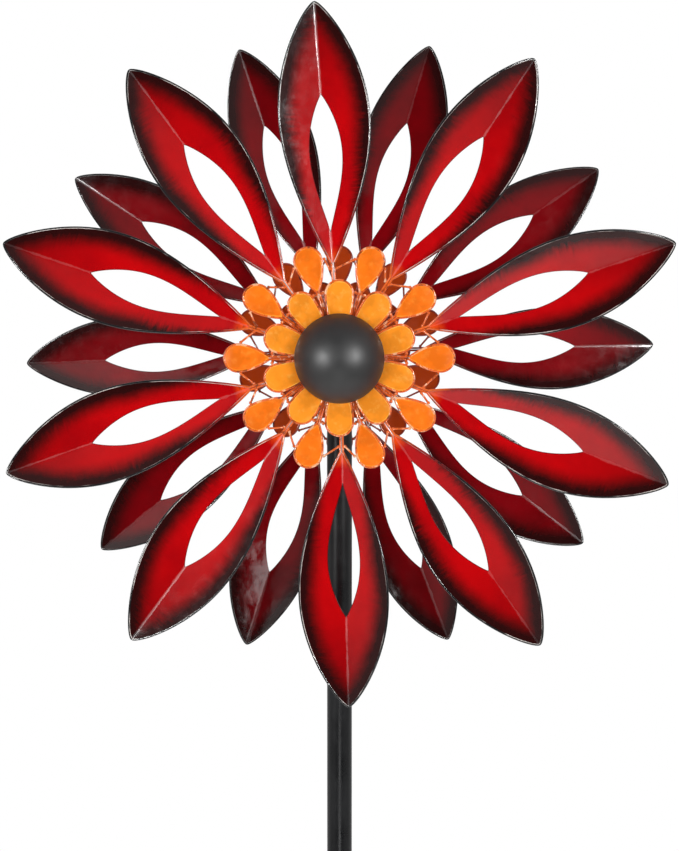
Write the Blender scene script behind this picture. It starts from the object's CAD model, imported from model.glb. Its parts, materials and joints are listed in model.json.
"""The looks of a kinetic wind sculpture: two petalled wheels that turn on one axle, either side of a pole."""
import json
import math

import bmesh
import bpy
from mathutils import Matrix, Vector, noise


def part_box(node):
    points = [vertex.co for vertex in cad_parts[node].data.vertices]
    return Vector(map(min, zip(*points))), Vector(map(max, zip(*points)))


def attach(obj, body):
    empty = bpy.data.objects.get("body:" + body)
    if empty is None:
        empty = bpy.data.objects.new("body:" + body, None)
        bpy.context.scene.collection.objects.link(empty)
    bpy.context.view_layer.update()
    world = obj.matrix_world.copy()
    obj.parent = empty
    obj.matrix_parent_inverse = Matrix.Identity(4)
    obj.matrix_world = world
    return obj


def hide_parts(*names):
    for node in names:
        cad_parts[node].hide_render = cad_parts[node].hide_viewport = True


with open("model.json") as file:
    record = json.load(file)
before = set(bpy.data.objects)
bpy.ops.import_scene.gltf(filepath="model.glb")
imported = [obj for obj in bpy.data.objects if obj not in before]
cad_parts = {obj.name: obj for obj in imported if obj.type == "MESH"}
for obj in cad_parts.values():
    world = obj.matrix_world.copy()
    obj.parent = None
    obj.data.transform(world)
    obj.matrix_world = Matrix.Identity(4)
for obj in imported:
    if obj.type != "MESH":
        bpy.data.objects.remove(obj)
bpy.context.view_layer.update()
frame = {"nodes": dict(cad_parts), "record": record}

# ---- Sizes, in millimetres. They repeat the design's own ----

MM = 0.001
AXLE_H = 1420
WHEEL_D = 610
PETALS = 10
SPOKE_W = 62             # from the pole's axis to the plane of each wheel's spokes
WIRE_R = 1
WELD_GAP = 0.15
LEG_U = WIRE_R + 0.1     # half the spacing of the two legs of a wire
HUB_R = 14
RING_R = 20

PETAL_BASE_R = 83
PETAL_W = 77
PETAL_TH = 0.8
PETAL_DISH = 8
PETAL_FOLD = 1
PETAL_PITCH = math.radians(14)
PETAL_RISE = 14
PETAL_SKEW = 1.195
PETAL_FULLNESS = 0.77
PETAL_LEN = WHEEL_D / 2 - 2 * WIRE_R - WELD_GAP - PETAL_BASE_R
LEAN = {                 # degrees that each petal leans from even spacing
    "front": [4, 0, -1, 1, -0.5, 1.5, -1, -3, 1, 3],
    "rear": [0.5, 3, 2.5, 4, 0.5, 2.5, -2.5, 1, -1, 1.5],
}
WINDOW_R = 110
WINDOW_LEN = 117
WINDOW_W = 29
WINDOW_SKEW = 1.25
WINDOW_FULLNESS = 0.85

DROP_W = 21.5
DROP_TH = 0.8
OUTER_DROP = {"tip": 61, "end": 99, "bow": 1.7, "rise": 2}
INNER_DROP = {"tip": 17, "end": 66.5, "bow": 2, "rise": 5.5}

FOOT_BACK = 5            # how far inside a petal's foot its link wires start
OUTER_FOOT_BACK = 3      # the same at an outer drop's foot
OUTER_FLANK_BACK = 3     # from the middle of an outer drop's round end in to its link wire
INNER_FLANK_ON = 1       # from the middle of an inner drop's round end out to its link wire
LINK_BOW = 0.8           # how far the middle of a link wire stands out
LINK_R = WIRE_R * 0.9

DOME_D = 78
DOME_H = 32
DOME_RIM = 73            # from the pole's axis along the axle
DOME_WALL = 1

# ---- How finely the pieces are made ----

PETAL_STEPS = 56         # points along each side of a petal
PETAL_RINGS = 14         # rings between its rim and its window
DROP_STEPS = 16
DROP_END_STEPS = 20
DROP_RINGS = 6
DROP_CROWN = 0.6         # how far a drop's middle stands above its edge
WIRE_SIDES = 10
DOME_STEPS = 128
DOME_RINGS = 40
TUCK = 0.4               # how far a sheet's edge reaches into the wire round it
HAMMER = 0.25            # how far the sheet wanders from its true shape
HAMMER_SIZE = 34         # size of the waves that it wanders in
HAMMER_FADE = 6          # distance from the rim over which they set in
LEG_STEPS = 8            # stretches of a wire's leg
LINK_STEPS = 8
ROLL_STEPS = 8           # round the dome's rolled rim
PETAL_BEAD_R = 1.5
DROP_BEAD_R = 1.4
LINK_BEAD_R = 1.45
BEAD_LUMPS = 0.22


# ---- Shapes, in a wheel's own frame: right, up, and out from the pole along the axle ----

def ease(s):
    return (1 - math.cos(math.pi * s)) / 2


def bell(t, skew, fullness):
    return max(0.0, math.sin(math.pi * t ** skew)) ** fullness


def leaf(start, length, width, skew, fullness, steps=PETAL_STEPS):
    """A leaf's outline as (distance from the axle, sideways distance), clockwise seen from in front."""
    outline = []
    for i in range(2 * steps):
        s = i / steps
        t = ease(min(s, 2 - s))
        side = 1 if s <= 1 else -1
        outline.append(Vector((start + length * t, side * width / 2 * bell(t, skew, fullness))))
    return outline


def drop(tip, end, bow):
    """A teardrop's outline: a bowed side, a round end of half a turn, and the other side."""
    r = DROP_W / 2
    centre = end - r
    side = []
    for i in range(1, DROP_STEPS + 1):
        f = 1 - i / DROP_STEPS
        side.append(Vector((centre - (centre - tip) * f, r * (1 - f ** bow))))
    end_arc = []
    for i in range(1, DROP_END_STEPS):
        a = math.pi / 2 - math.pi * i / DROP_END_STEPS
        end_arc.append(Vector((centre + r * math.cos(a), r * math.sin(a))))
    return [Vector((tip, 0))] + side + end_arc + [Vector((p.x, -p.y)) for p in reversed(side)]


def grown(outline, by):
    """The outline moved outwards, without its first point, which is the sharp one."""
    n = len(outline)
    moved = []
    for i in range(1, n):
        way = (outline[(i + 1) % n] - outline[i - 1]).normalized()
        moved.append(outline[i] + by * Vector((-way.y, way.x)))
    return moved


def looped(outline, from_r):
    """A wire's route: out from the hub, round the outline, and back to the hub."""
    by = WIRE_R + WELD_GAP
    half_way = (outline[0].x + max(p.x for p in outline)) / 2
    round_it = [p for p in grown(outline, by) if abs(p.y) > LEG_U or p.x > half_way]
    way = (outline[1] - outline[0]).normalized()
    join_r = outline[0].x - by * way.y + (LEG_U - by * way.x) * way.x / way.y
    out = [Vector((from_r + (join_r - from_r) * i / LEG_STEPS, LEG_U)) for i in range(LEG_STEPS + 1)]
    return out + round_it + [Vector((p.x, -p.y)) for p in reversed(out)]


def fold_reach(u):
    """Distance from the fold's centre line, rounded off at the fold."""
    return math.hypot(u, PETAL_FOLD)


def on_petal(r, u, off=0.0):
    """A point of the folded, pitched petal, moved off its middle surface by off."""
    t = max(0.0, (r - PETAL_BASE_R) / PETAL_LEN)
    steep = PETAL_DISH / (fold_reach(PETAL_W / 2) - PETAL_FOLD)
    slope = steep * u / fold_reach(u)
    side = u - off * slope / math.hypot(1, slope)
    up = steep * (fold_reach(u) - PETAL_FOLD) + off / math.hypot(1, slope)
    return Vector((r,
                   side * math.cos(PETAL_PITCH) - up * math.sin(PETAL_PITCH),
                   SPOKE_W + PETAL_RISE * t * t + side * math.sin(PETAL_PITCH) + up * math.cos(PETAL_PITCH)))


def place_angle(side, k):
    """The rear wheel's petals stand between the front wheel's."""
    return math.radians(90 + k * 360 / PETALS + (0 if side == "front" else 180 / PETALS))


def lean(side, k):
    return math.radians(LEAN[side][k])


def turned(point, angle):
    c, s = math.cos(angle), math.sin(angle)
    return Vector((point.x * c - point.y * s, point.x * s + point.y * c, point.z))


def in_row(side, point):
    """From a wheel's own frame in millimetres to the row frame in metres."""
    out = -point.z if side == "front" else point.z
    return Vector((point.x, out, AXLE_H + point.y)) * MM


class Shape:
    """Corners and faces gathered from several parts, with values at the corners for the materials."""

    def __init__(self):
        self.points, self.faces, self.values = [], [], {}

    def add(self, points, faces, **values):
        first = len(self.points)
        self.points += points
        self.faces += [[first + i for i in face] for face in faces]
        for name, numbers in values.items():
            self.values.setdefault(name, []).extend(numbers)

    def piece(self, name, body, slot, material, *nodes, crease=40):
        mesh = bpy.data.meshes.new(name)
        mesh.from_pydata(self.points, [], self.faces)
        for value, numbers in self.values.items():
            mesh.attributes.new(value, "FLOAT", "POINT").data.foreach_set("value", numbers)
        work = bmesh.new()
        work.from_mesh(mesh)
        bmesh.ops.recalc_face_normals(work, faces=work.faces)
        work.to_mesh(mesh)
        work.free()
        mesh.shade_smooth()
        mesh.set_sharp_from_angle(angle=math.radians(crease))
        mesh.materials.append(material)
        thing = bpy.data.objects.new(name, mesh)
        bpy.context.scene.collection.objects.link(thing)
        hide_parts(*nodes)
        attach(thing, body)
        return thing


def tube(route, r, sides, facing):
    """Rings of corners swept along a route, closed at both ends. Returns the points and the faces."""
    points, faces, n = [], [], len(route)
    for i, here in enumerate(route):
        way = (route[min(i + 1, n - 1)] - route[max(i - 1, 0)]).normalized()
        a = facing.cross(way).normalized()
        b = way.cross(a)
        for k in range(sides):
            turn = math.tau * k / sides
            points.append(here + r * (math.cos(turn) * a + math.sin(turn) * b))
    for i in range(n - 1):
        for k in range(sides):
            m = (k + 1) % sides
            faces.append([i * sides + k, i * sides + m, (i + 1) * sides + m, (i + 1) * sides + k])
    faces.append(list(range(sides)))
    faces.append([(n - 1) * sides + k for k in reversed(range(sides))])
    return points, faces


def bead(shape, side, at, r):
    """A weld bead: a small lumpy ball."""
    work = bmesh.new()
    bmesh.ops.create_icosphere(work, subdivisions=2, radius=r)
    points = []
    for v in work.verts:
        lump = 1 + BEAD_LUMPS * noise.noise(v.co * 0.9 + at * 0.37)
        points.append(in_row(side, at + v.co * lump))
    faces = [[v.index for v in f.verts] for f in work.faces]
    shape.add(points, faces, reach=[at.xy.length] * len(points), inner=[0.0] * len(points))
    work.free()


# ---- Materials ----

class Paint:
    """A material under construction. Its methods add nodes and return their outputs."""

    def __init__(self, name, **settings):
        self.material = bpy.data.materials.new(name)
        self.material.use_nodes = True
        self.tree = self.material.node_tree
        self.shader = self.tree.nodes["Principled BSDF"]
        self.set(**settings)
        self.where = self.node("ShaderNodeTexCoord").outputs["Object"]

    def set(self, **settings):
        for name, value in settings.items():
            self.connect(self.shader.inputs[name.replace("_", " ")], value)

    def connect(self, socket, value):
        if isinstance(value, bpy.types.NodeSocket):
            self.tree.links.new(value, socket)
        elif isinstance(value, tuple) and len(value) == 3 and socket.type == "RGBA":
            socket.default_value = (*value, 1)
        else:
            socket.default_value = value

    def node(self, kind, inputs=(), **settings):
        made = self.tree.nodes.new(kind)
        for name, value in settings.items():
            setattr(made, name, value)
        for key, value in dict(inputs).items():
            self.connect(made.inputs[key], value)
        return made

    def attribute(self, name):
        return self.node("ShaderNodeAttribute", attribute_name=name).outputs["Fac"]

    def cloud(self, size_mm, detail=3.0, roughness=0.5, stretch=None, distortion=0.0):
        """Smooth noise from 0 to 1, with lumps of about that size."""
        where = self.where
        if stretch:
            where = self.node("ShaderNodeMapping", {"Vector": where, "Scale": stretch}).outputs[0]
        settings = {"Vector": where, "Scale": 1 / (size_mm * MM), "Detail": detail,
                    "Roughness": roughness, "Distortion": distortion}
        return self.node("ShaderNodeTexNoise", settings).outputs["Fac"]

    def sum(self, a, b):
        return self.node("ShaderNodeMath", {0: a, 1: b}, operation="ADD").outputs[0]

    def product(self, a, b):
        return self.node("ShaderNodeMath", {0: a, 1: b}, operation="MULTIPLY").outputs[0]

    def swing(self, cloud, reach):
        """A cloud moved to swing about 0, and made that strong."""
        return self.product(self.sum(cloud, -0.5), reach)

    def ramp(self, value, low, high, at_low=0.0, at_high=1.0):
        """Smoothly from at_low to at_high as value goes from low to high."""
        settings = {"Value": value, "From Min": low, "From Max": high, "To Min": at_low, "To Max": at_high}
        return self.node("ShaderNodeMapRange", settings, interpolation_type="SMOOTHSTEP").outputs["Result"]

    def mix(self, share, a, b):
        made = self.node("ShaderNodeMix", data_type="RGBA")
        for key, value in (("Factor_Float", share), ("A_Color", a), ("B_Color", b)):
            socket = next(s for s in made.inputs if s.identifier == key)
            self.connect(socket, value)
        return next(s for s in made.outputs if s.identifier == "Result_Color")

    def bump(self, *layers):
        """Each layer is (height from 0 to 1, its depth in millimetres)."""
        normal = None
        for height, depth in layers:
            made = self.node("ShaderNodeBump", {"Height": height, "Distance": depth * MM, "Strength": 1.0})
            if normal:
                self.connect(made.inputs["Normal"], normal)
            normal = made.outputs["Normal"]
        self.set(Normal=normal)


DEEP_RED = (0.05, 0.001, 0.002)
SPRAYED_BLACK = (0.022, 0.003, 0.003)
BLACK_PAINT = (0.006, 0.006, 0.007)
THIN_PAINT = (0.80, 0.74, 0.70)
ORANGE_WIRE = (0.74, 0.12, 0.012)
BROWN_WIRE = (0.30, 0.03, 0.008)
DROP_BACK = (0.46, 0.05, 0.004)
BRISTLE_PITCH = 2.2      # millimetres from one brush mark to the next


def petal_enamel(name):
    """Gloss enamel, sprayed black from the rim inwards and orange at the foot. The inward side is darker."""
    p = Paint(name)
    rim, along = p.attribute("rim_mm"), p.attribute("along")
    outward, window = p.attribute("outward"), p.attribute("window_mm")
    patches = p.cloud(42, detail=4, roughness=0.55)
    streaks = p.cloud(11, detail=5, roughness=0.7)

    # Brush marks run in from the rim, and each half of each petal has its own
    brushed = p.node("ShaderNodeCombineXYZ", {"X": p.product(along, PETAL_LEN / BRISTLE_PITCH),
                                              "Y": p.product(rim, 0.09),
                                              "Z": p.product(p.attribute("own"), 7)}).outputs[0]
    bristles = p.node("ShaderNodeTexNoise", {"Vector": brushed, "Scale": 1.0, "Detail": 3.0}).outputs["Fac"]
    wander, ragged = p.swing(patches, 9), p.swing(streaks, 5)
    rough = p.swing(bristles, p.ramp(patches, 0.46, 0.66, 2.0, 14.0))

    # The black is solid as far in as starts and gone by ends, which are further in towards the tip
    spray = p.sum(rim, p.sum(p.sum(wander, ragged), rough))
    starts, ends = p.ramp(along, 0.10, 0.45, -5.0, 2.5), p.ramp(along, 0.06, 0.5, 3.0, 20.0)
    edge = p.ramp(spray, starts, ends, 1.0, 0.0)

    # Red, orange at the foot, worn along the fold, and darker at the window's cut edge and towards the tip
    bright = p.mix(p.ramp(patches, 0.35, 0.7), (0.51, 0.0015, 0.003), (0.39, 0.001, 0.003))
    dark = p.mix(p.ramp(patches, 0.35, 0.7), (0.25, 0.001, 0.004), (0.17, 0.001, 0.003))
    red = p.mix(outward, dark, bright)
    flame = p.mix(outward, (0.30, 0.02, 0.003), (0.90, 0.09, 0.008))
    foot = p.ramp(p.sum(along, p.swing(streaks, 0.04)), 0.0, 0.07, 1.0, 0.0)
    colour = p.mix(foot, red, flame)
    crease = p.sum(p.attribute("fold_mm"), p.swing(streaks, 5))
    worn = p.mix(outward, (0.30, 0.05, 0.05), (0.58, 0.09, 0.09))
    colour = p.mix(p.ramp(crease, 0.0, 1.0, 0.22, 0.0), colour, worn)
    colour = p.mix(p.ramp(window, 0.2, 1.0, 0.65, 0.0), colour, DEEP_RED)
    colour = p.mix(p.ramp(along, 0.5, 1.0, 0.0, 0.5), colour, DEEP_RED)
    p.set(Base_Color=p.mix(edge, colour, SPRAYED_BLACK),
          Roughness=p.sum(p.ramp(streaks, 0.3, 0.75, 0.06, 0.15), p.ramp(crease, 0.2, 1.6, 0.35, 0.0)))
    p.bump((p.cloud(24, detail=2), 0.45), (streaks, 0.06), (p.cloud(0.9, detail=1), 0.006))
    return p.material


def drop_enamel(name, middle, rim_colour, inner):
    """Gloss enamel with a lighter rim, where the paint is thin. The inward side has the colour inner."""
    p = Paint(name, Coat_Weight=0.3, Coat_Roughness=0.1)
    rim, outward = p.attribute("rim_mm"), p.attribute("outward")
    streaks = p.cloud(6, detail=4, roughness=0.6)
    patches = p.cloud(15, detail=3)
    deep = tuple(c * 0.78 for c in middle)
    colour = p.mix(p.ramp(patches, 0.35, 0.65), middle, deep)
    colour = p.mix(p.ramp(streaks, 0.5, 0.75, 0.0, 0.25), colour, rim_colour)
    near = p.sum(rim, p.swing(streaks, 4))
    colour = p.mix(p.ramp(near, 0.0, 0.9, 0.5, 0.0), colour, rim_colour)
    p.set(Base_Color=p.mix(outward, inner, colour), Roughness=p.ramp(streaks, 0.3, 0.7, 0.14, 0.26))
    p.bump((patches, 0.5), (streaks, 0.06), (p.cloud(0.8, detail=1), 0.01))
    return p.material


def wire_paint(name, centre, middle, outer, glow=0.0, seam=0.0):
    """Paint on a wire. Its colour changes with the distance from the axle. glow is how far its bright spots
    show, and seam how thin it is along the wire's inner side."""
    p = Paint(name, Coat_Weight=0.6, Coat_Roughness=0.05)
    reach = p.attribute("reach")
    wear = p.cloud(5, detail=4, roughness=0.65)
    far = p.sum(reach, p.swing(wear, 30))
    colour = p.mix(p.ramp(far, 80, 108), centre, middle)
    colour = p.mix(p.ramp(far, 108, 150), colour, outer)
    grime = p.cloud(7, detail=3, roughness=0.6)
    dim = p.mix(0.65, colour, (0.004, 0.001, 0.001))
    lit = p.mix(0.5, colour, (1.0, 0.75, 0.45))
    colour = p.mix(p.ramp(grime, 0.44, 0.36), colour, dim)
    colour = p.mix(p.ramp(grime, 0.53, 0.62, 0.0, glow), colour, lit)
    patchy = p.ramp(p.cloud(26, detail=3), 0.42, 0.58, 0.0, seam)
    thin = p.product(p.ramp(p.attribute("inner"), 0.3, 0.8), patchy)
    p.set(Base_Color=p.mix(thin, colour, THIN_PAINT), Roughness=p.ramp(wear, 0.3, 0.7, 0.12, 0.26))
    p.bump((wear, 0.05))
    return p.material


def powder_coat(name, colour, shine, ior=1.5):
    """Satin powder coat with its fine orange-peel skin and faint rubbed patches."""
    p = Paint(name, IOR=ior)
    rubbed = p.cloud(28, detail=5, roughness=0.6)
    peel = p.cloud(0.8, detail=2)
    lighter = tuple(c * 1.35 + 0.002 for c in colour)
    p.set(Base_Color=p.mix(p.ramp(rubbed, 0.35, 0.75), colour, lighter),
          Roughness=p.ramp(rubbed, 0.3, 0.7, shine, shine + 0.1))
    p.bump((peel, 0.007), (rubbed, 0.05))
    return p.material


def bare_metal(name, colour, shine, grain):
    """Plated or ground steel. grain stretches its fine brush marks."""
    p = Paint(name, Metallic=1.0)
    marks = p.cloud(1.2, detail=4, roughness=0.7, stretch=grain)
    spots = p.cloud(6, detail=4)
    darker = tuple(c * 0.7 for c in colour)
    p.set(Base_Color=p.mix(p.ramp(spots, 0.45, 0.75), colour, darker),
          Roughness=p.ramp(marks, 0.3, 0.7, shine, shine + 0.15))
    p.bump((marks, 0.01))
    return p.material


def nylon(name):
    """Milky plastic."""
    p = Paint(name, Subsurface_Weight=0.15, Subsurface_Scale=0.002)
    haze = p.cloud(4, detail=3)
    p.set(Base_Color=p.mix(haze, (0.80, 0.78, 0.70), (0.70, 0.67, 0.58)),
          Roughness=p.ramp(haze, 0.3, 0.7, 0.42, 0.55))
    p.bump((p.cloud(0.6, detail=1), 0.01))
    return p.material


MATERIALS = {
    "front_petal_enamel": petal_enamel("front_petal_enamel"),
    "rear_petal_enamel": petal_enamel("rear_petal_enamel"),
    "outer_drop_enamel": drop_enamel("outer_drop_enamel", (1.0, 0.19, 0.008), (1.0, 0.42, 0.05), DROP_BACK),
    "inner_drop_enamel": drop_enamel("inner_drop_enamel", (1.0, 0.30, 0.018), (1.0, 0.62, 0.12), DROP_BACK),
    "petal_wire_paint": wire_paint("petal_wire_paint", ORANGE_WIRE, (0.25, 0.004, 0.004), BLACK_PAINT,
                                   seam=0.9),
    "centre_wire_paint": wire_paint("centre_wire_paint", ORANGE_WIRE, ORANGE_WIRE, ORANGE_WIRE, glow=1.0),
    "dome_paint": powder_coat("dome_paint", (0.003, 0.003, 0.0033), 0.46, ior=1.8),
    "black_powder_coat": powder_coat("black_powder_coat", (0.004, 0.0042, 0.005), 0.26, ior=1.5),
    "zinc_plate": bare_metal("zinc_plate", (0.62, 0.63, 0.65), 0.28, (1, 1, 1)),
    "bearing_steel": bare_metal("bearing_steel", (0.70, 0.70, 0.72), 0.16, (1, 6, 1)),
    "nylon": nylon("nylon"),
}
REAR_WIRES = {
    "petal_wire_paint": wire_paint("rear_petal_wire_paint", BROWN_WIRE, (0.12, 0.003, 0.004), BLACK_PAINT,
                                   seam=0.5),
    "centre_wire_paint": wire_paint("rear_centre_wire_paint", BROWN_WIRE, BROWN_WIRE, BROWN_WIRE),
}


def wire_material(side, slot):
    return MATERIALS[slot] if side == "front" else REAR_WIRES[slot]


# ---- The wheels ----

def nearest(point, outline):
    """Distance from a point to a closed outline."""
    best = math.inf
    for i, a in enumerate(outline):
        b = outline[(i + 1) % len(outline)]
        edge = b - a
        share = min(1.0, max(0.0, (point - a).dot(edge) / edge.length_squared))
        best = min(best, (point - a - share * edge).length)
    return best


def petal_grid():
    """The petal's flat grid: for each corner its place, and its distances from the rim and the window."""
    rim = leaf(PETAL_BASE_R, PETAL_LEN, PETAL_W, PETAL_SKEW, PETAL_FULLNESS)
    window = leaf(WINDOW_R, WINDOW_LEN, WINDOW_W, WINDOW_SKEW, WINDOW_FULLNESS)
    tucked = [rim[0]] + grown(rim, TUCK)
    grid = []
    for j in range(PETAL_RINGS + 1):
        f = ease(j / PETAL_RINGS)
        for i in range(len(rim)):
            p = tucked[i].lerp(window[i], f)
            at_rim = 0.0 if j == 0 else nearest(p, rim)
            at_window = 0.0 if j == PETAL_RINGS else nearest(p, window)
            grid.append((p, at_rim, at_window))
    return grid, len(rim)


GRID, ROUND = petal_grid()


def petal_sheet(side, k):
    """One petal: a folded, hand-finished sheet with a window, from its rim wire inwards."""
    shape = Shape()
    angle = place_angle(side, k) + lean(side, k)
    own = Vector((0, 0, 5.7 * k + (31 if side == "rear" else 0)))
    points, values = [], {"rim_mm": [], "window_mm": [], "along": [], "outward": [], "fold_mm": [], "own": []}
    for outward in (1, 0):
        for p, at_rim, at_window in GRID:
            off = PETAL_TH * (outward - 0.5)
            wave = noise.noise(Vector((p.x, p.y, 0)) / HAMMER_SIZE + own)
            off += HAMMER * wave * min(1.0, at_rim / HAMMER_FADE)
            points.append(in_row(side, turned(on_petal(p.x, p.y, off), angle)))
            values["rim_mm"].append(at_rim)
            values["window_mm"].append(at_window)
            values["along"].append(max(0.0, (p.x - PETAL_BASE_R) / PETAL_LEN))
            values["outward"].append(float(outward))
            values["fold_mm"].append(abs(p.y))
            values["own"].append(k + (0.0 if p.y < 0 else 0.5))
    faces, layer = [], len(GRID)
    for i in range(ROUND):
        m = (i + 1) % ROUND
        for j in range(PETAL_RINGS):
            a, b, c, d = j * ROUND + i, j * ROUND + m, (j + 1) * ROUND + m, (j + 1) * ROUND + i
            faces += [[a, b, c, d], [d + layer, c + layer, b + layer, a + layer]]
        last = PETAL_RINGS * ROUND
        faces.append([m, i, i + layer, m + layer])
        faces.append([last + i, last + m, last + m + layer, last + i + layer])
    shape.add(points, faces, **values)
    node = f"{side}_petal_{k + 1:02d}"
    slot = f"{side}_petal_enamel"
    shape.piece(f"{node}_sheet", f"{side}_wheel", slot, MATERIALS[slot], node, crease=18)


def add_wire(shape, side, route, r=WIRE_R, facing=Vector((0, 0, 1))):
    """A wire along the route. Its corners know their distance from the axle and which face its inner side."""
    points, faces = tube(route, r, WIRE_SIDES, facing)
    inner = [-math.cos(math.tau * i / WIRE_SIDES) for i in range(len(points))]
    shape.add([in_row(side, p) for p in points], faces, reach=[p.xy.length for p in points], inner=inner)


def petal_wires(side):
    """The wire round each petal, whose two ends run on to the spoke ring."""
    shape = Shape()
    rim = leaf(PETAL_BASE_R, PETAL_LEN, PETAL_W, PETAL_SKEW, PETAL_FULLNESS)
    route = [on_petal(p.x, p.y) for p in looped(rim, RING_R)]
    facing = Vector((0, -math.sin(PETAL_PITCH), math.cos(PETAL_PITCH)))
    for k in range(PETALS):
        angle = place_angle(side, k) + lean(side, k)
        way_out = turned(facing, angle)
        add_wire(shape, side, [turned(p, angle) for p in route], facing=way_out)
        for u in (LEG_U, -LEG_U):
            bead(shape, side, turned(on_petal(RING_R + 0.3, u), angle), PETAL_BEAD_R)
    slot = "petal_wire_paint"
    shape.piece(f"{side}_petal_rims", f"{side}_wheel", slot, wire_material(side, slot), f"{side}_petal_wires")


def drop_plates(side, kind, size, shift):
    """Pressed teardrops, a little domed on their outward side."""
    shape = Shape()
    outline = drop(size["tip"], size["end"], size["bow"])
    centre = Vector((size["end"] - DROP_W / 2, 0))
    tucked = [outline[0]] + grown(outline, TUCK)
    n = len(outline)
    for k in range(PETALS):
        angle = place_angle(side, k + shift)
        points, values = [], {"rim_mm": [], "outward": []}
        for outward in (1, 0):
            for j in range(DROP_RINGS):
                f = 1 - (j / DROP_RINGS) ** 1.3
                crown = DROP_CROWN * (1 - f ** 2.2)
                for p in tucked:
                    q = centre.lerp(p, f)
                    out = SPOKE_W + size["rise"] + crown + DROP_TH * (outward - 0.5)
                    points.append(in_row(side, turned(Vector((q.x, q.y, out)), angle)))
                    values["rim_mm"].append((1 - f) * DROP_W / 2)
                    values["outward"].append(float(outward))
            top = Vector((centre.x, 0, SPOKE_W + size["rise"] + DROP_CROWN + DROP_TH * (outward - 0.5)))
            points.append(in_row(side, turned(top, angle)))
            values["rim_mm"].append(DROP_W / 2)
            values["outward"].append(float(outward))
        faces, layer = [], DROP_RINGS * n + 1
        for i in range(n):
            m = (i + 1) % n
            for j in range(DROP_RINGS - 1):
                a, b, c, d = j * n + i, j * n + m, (j + 1) * n + m, (j + 1) * n + i
                faces += [[a, b, c, d], [d + layer, c + layer, b + layer, a + layer]]
            a, b, top = (DROP_RINGS - 1) * n + i, (DROP_RINGS - 1) * n + m, layer - 1
            faces += [[a, b, top], [top + layer, b + layer, a + layer], [m, i, i + layer, m + layer]]
        shape.add(points, faces, **values)
    slot = f"{kind}_drop_enamel"
    shape.piece(f"{side}_{kind}_drop_plates", f"{side}_wheel", slot, MATERIALS[slot], f"{side}_{kind}_drops",
                crease=60)


def drop_wires(side):
    """The wires round the outer drops reach the spoke ring, and those round the inner drops reach the hub."""
    shape = Shape()
    rise, tip = OUTER_DROP["rise"], OUTER_DROP["tip"]
    outer = []
    for p in looped(drop(tip, OUTER_DROP["end"], OUTER_DROP["bow"]), RING_R):
        climb = min(1.0, (p.x - RING_R) / (tip - 2 * WIRE_R - RING_R))
        outer.append(Vector((p.x, p.y, SPOKE_W + rise * climb)))
    inner = []
    for p in looped(drop(INNER_DROP["tip"], INNER_DROP["end"], INNER_DROP["bow"]), HUB_R):
        inner.append(Vector((p.x, p.y, SPOKE_W + INNER_DROP["rise"])))
    for k in range(PETALS):
        for route, shift in ((outer, 0.5), (inner, 0)):
            angle = place_angle(side, k + shift)
            add_wire(shape, side, [turned(p, angle) for p in route])
            for u in (LEG_U, -LEG_U):
                bead(shape, side, turned(Vector((route[0].x + 0.3, u, route[0].z)), angle), DROP_BEAD_R)
    slot = "centre_wire_paint"
    shape.piece(f"{side}_drop_rims", f"{side}_wheel", slot, wire_material(side, slot), f"{side}_drop_wires")


def link_wires(side):
    """Short wires that tie each petal's foot to the outer drops beside it, and each outer drop's foot to the
    inner drops beside it, with a weld bead at each end."""
    shape = Shape()
    away = math.pi / PETALS
    beside = 2 * WIRE_R + WELD_GAP
    reach = DROP_W / 2 + WIRE_R + WELD_GAP + beside
    outer_out, inner_out = SPOKE_W + OUTER_DROP["rise"], SPOKE_W + INNER_DROP["rise"]
    outer_flank = Vector((OUTER_DROP["end"] - DROP_W / 2 - OUTER_FLANK_BACK, -reach, outer_out))
    outer_foot = Vector((OUTER_DROP["tip"] - OUTER_FOOT_BACK, -LEG_U - beside, outer_out))
    inner_flank = Vector((INNER_DROP["end"] - DROP_W / 2 + INNER_FLANK_ON, reach, inner_out))
    for k in range(PETALS):
        for flip in (1, -1):
            foot = turned(Vector((PETAL_BASE_R - FOOT_BACK, LEG_U + beside, SPOKE_W)), lean(side, k) * flip)
            for a, b in ((foot, turned(outer_flank, away)), (turned(outer_foot, away), inner_flank)):
                a, b = (turned(Vector((p.x, p.y * flip, p.z)), place_angle(side, k)) for p in (a, b))
                bow = Vector((0, 0, LINK_BOW))
                route = []
                for i in range(LINK_STEPS + 1):
                    s = i / LINK_STEPS
                    route.append(a.lerp(b, s) + bow * 4 * s * (1 - s))
                add_wire(shape, side, route, r=LINK_R)
                for end, other in ((a, b), (b, a)):
                    bead(shape, side, end + (end - other).normalized() * 0.5, LINK_BEAD_R)
    slot = "centre_wire_paint"
    shape.piece(f"{side}_links", f"{side}_wheel", slot, wire_material(side, slot), f"{side}_link_wires")


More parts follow.
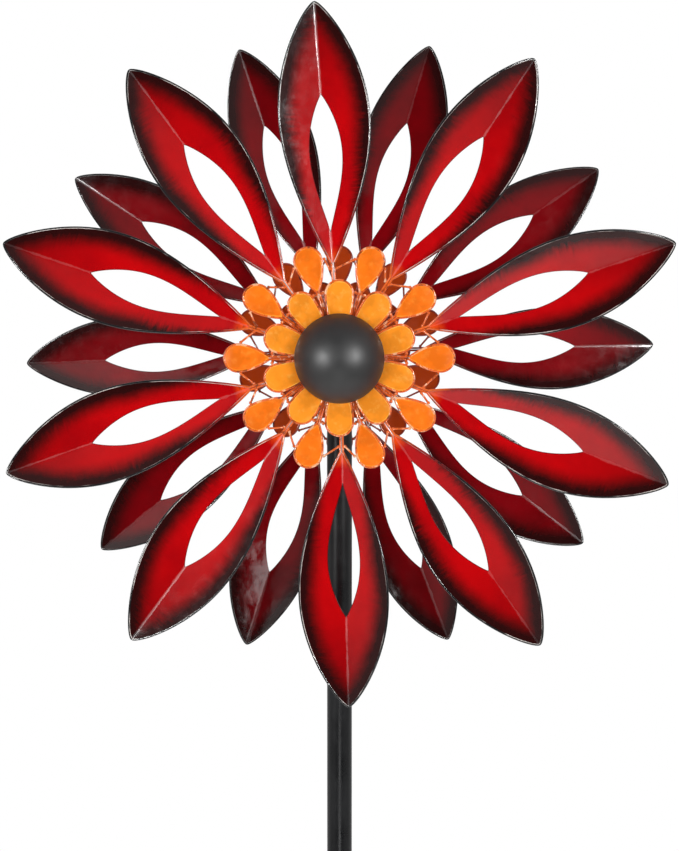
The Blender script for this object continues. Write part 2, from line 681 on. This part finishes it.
def dome():
    """The spun dome over the front of the hub, with a small rolled rim."""
    shape = Shape()
    ball = ((DOME_D / 2) ** 2 + DOME_H ** 2) / (2 * DOME_H)
    centre = DOME_RIM + DOME_H - ball
    most = math.asin(DOME_D / 2 / ball) if DOME_H < ball else math.pi - math.asin(DOME_D / 2 / ball)
    profile = []
    for i in range(1, DOME_RINGS + 1):
        a = most * i / DOME_RINGS
        profile.append((ball * math.sin(a), centre + ball * math.cos(a)))
    roll = DOME_WALL * 0.5
    for i in range(1, ROLL_STEPS):
        a = math.pi * i / ROLL_STEPS
        profile.append((DOME_D / 2 - roll + roll * math.cos(a), DOME_RIM - 0.4 * roll * math.sin(a)))
    inside = ball - DOME_WALL
    for i in range(DOME_RINGS, 0, -1):
        a = most * i / DOME_RINGS
        profile.append((inside * math.sin(a), max(DOME_RIM, centre + inside * math.cos(a))))
    points = [Vector((0, 0, centre + ball))]
    for r, out in profile:
        for k in range(DOME_STEPS):
            a = math.tau * k / DOME_STEPS
            points.append(Vector((r * math.cos(a), r * math.sin(a), out)))
    points.append(Vector((0, 0, centre + inside)))
    faces = []
    for k in range(DOME_STEPS):
        m = (k + 1) % DOME_STEPS
        faces.append([0, 1 + k, 1 + m])
        for j in range(len(profile) - 1):
            a, b = 1 + j * DOME_STEPS, 1 + (j + 1) * DOME_STEPS
            faces.append([a + k, b + k, b + m, a + m])
        last = 1 + (len(profile) - 1) * DOME_STEPS
        faces.append([last + m, last + k, len(points) - 1])
    shape.add([in_row("front", p) for p in points], faces)
    shape.piece("dome_shell", "head", "dome_paint", MATERIALS["dome_paint"], "dome")


for side in ("front", "rear"):
    for k in range(PETALS):
        petal_sheet(side, k)
    petal_wires(side)
    drop_plates(side, "outer", OUTER_DROP, 0.5)
    drop_plates(side, "inner", INNER_DROP, 0)
    drop_wires(side)
    link_wires(side)
dome()

# ---- Everything else keeps its own shape and gets its own finish ----

for part in frame["record"]["subparts"]:
    node = frame["nodes"][part["node"]]
    if not node.hide_render:
        node.data.materials.clear()
        node.data.materials.append(MATERIALS[part["material_slot"]])

# ---- Floor, lights and camera ----

HUB = Vector((0, 0, AXLE_H * MM))
FLOOR_R = 1.8
FLOOR_GAP = 0.0015       # below the prongs' points
LAMP_DISTANCE = 2.2
SOFTBOXES = (            # name, azimuth, elevation, side, power
    ("left_softbox", -33, 1, 1.1, 27),
    ("right_softbox", 33, 1, 1.1, 27),
    ("top_softbox", 0, 75, 1.4, 20),
    ("left_rear_softbox", -140, 8, 1.1, 20),
    ("right_rear_softbox", 140, 8, 1.1, 20),
)
GLINTS = (               # name, azimuth, elevation, width, height, power
    ("left_glint", -40, 4, 0.3, 0.3, 26),
    ("right_glint", 37, 9, 0.3, 0.3, 28),
    ("low_glint", 2, -32, 0.45, 0.5, 2.6),
)
CAMERA_DISTANCE = 1.24
CAMERA_AZIMUTH = 0.1
CAMERA_ELEVATION = 3.1


def way_to(azimuth, elevation):
    """The direction from the hub at those angles in degrees. Azimuth 0 is in front."""
    a, e = math.radians(azimuth), math.radians(elevation)
    return Vector((math.sin(a) * math.cos(e), -math.cos(a) * math.cos(e), math.sin(e)))


def face_hub(thing, way, distance):
    """Puts a lamp or camera at that distance from the hub, facing it."""
    thing.location = HUB + way * distance
    thing.rotation_euler = (-way).to_track_quat("-Z", "Y").to_euler()
    bpy.context.scene.collection.objects.link(thing)


def floor():
    """A pale round floor just below the prongs' points."""
    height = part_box("prongs")[0].z - FLOOR_GAP
    bpy.ops.mesh.primitive_circle_add(vertices=96, radius=FLOOR_R, fill_type="NGON", location=(0, 0, height))
    disc = bpy.context.object
    disc.name = "floor"
    p = Paint("floor_paint")
    haze = p.cloud(160, detail=4)
    p.set(Base_Color=p.mix(haze, (0.80, 0.80, 0.79), (0.76, 0.76, 0.75)), Roughness=0.6)
    disc.data.materials.append(p.material)


def softbox(name, azimuth, elevation, width, height, power):
    """An area light that faces the hub."""
    light = bpy.data.lights.new(name, "AREA")
    light.shape = "RECTANGLE"
    light.size, light.size_y, light.energy = width, height, power
    lamp = bpy.data.objects.new(name, light)
    face_hub(lamp, way_to(azimuth, elevation), LAMP_DISTANCE)
    return lamp


def surroundings():
    """A pale studio: dark behind the camera, brighter to the sides, and white behind the sculpture."""
    world = bpy.data.worlds.new("studio")
    world.use_nodes = True
    bpy.context.scene.world = world
    tree = world.node_tree
    tree.nodes.clear()
    new, link = tree.nodes.new, tree.links.new
    way = new("ShaderNodeTexCoord")
    towards = new("ShaderNodeVectorMath")
    towards.operation = "DOT_PRODUCT"
    towards.inputs[1].default_value = (0, -1, 0)
    link(way.outputs["Generated"], towards.inputs[0])
    zones = []
    for low, high, at_low, at_high in ((0.55, 0.9, 0.30, 0.02), (-0.3, 0.2, 0.15, 0.0)):
        zone = new("ShaderNodeMapRange")
        zone.interpolation_type = "SMOOTHSTEP"
        for name, value in (("From Min", low), ("From Max", high), ("To Min", at_low), ("To Max", at_high)):
            zone.inputs[name].default_value = value
        link(towards.outputs["Value"], zone.inputs["Value"])
        zones.append(zone.outputs["Result"])
    strength = new("ShaderNodeMath")
    link(zones[0], strength.inputs[0])
    link(zones[1], strength.inputs[1])
    lit, seen = new("ShaderNodeBackground"), new("ShaderNodeBackground")
    link(strength.outputs[0], lit.inputs["Strength"])
    path, choose, out = new("ShaderNodeLightPath"), new("ShaderNodeMixShader"), new("ShaderNodeOutputWorld")
    link(path.outputs["Is Camera Ray"], choose.inputs[0])
    link(lit.outputs[0], choose.inputs[1])
    link(seen.outputs[0], choose.inputs[2])
    link(choose.outputs[0], out.inputs["Surface"])
    for background in (lit, seen):
        background.inputs["Color"].default_value = (1, 1, 1, 1)


def camera():
    """In front of the hub and a little above it."""
    lens = bpy.data.cameras.new("camera")
    lens.sensor_width = 36
    lens.lens = 57.2
    lens.shift_y = -0.084
    eye = bpy.data.objects.new("camera", lens)
    face_hub(eye, way_to(CAMERA_AZIMUTH, CAMERA_ELEVATION), CAMERA_DISTANCE)
    bpy.context.scene.camera = eye
    bpy.context.scene.view_settings.view_transform = "Standard"


floor()
for name, azimuth, elevation, size, power in SOFTBOXES:
    softbox(name, azimuth, elevation, size, size, power).visible_glossy = False
for name, azimuth, elevation, width, height, power in GLINTS:
    softbox(name, azimuth, elevation, width, height, power).visible_diffuse = False
surroundings()
camera()
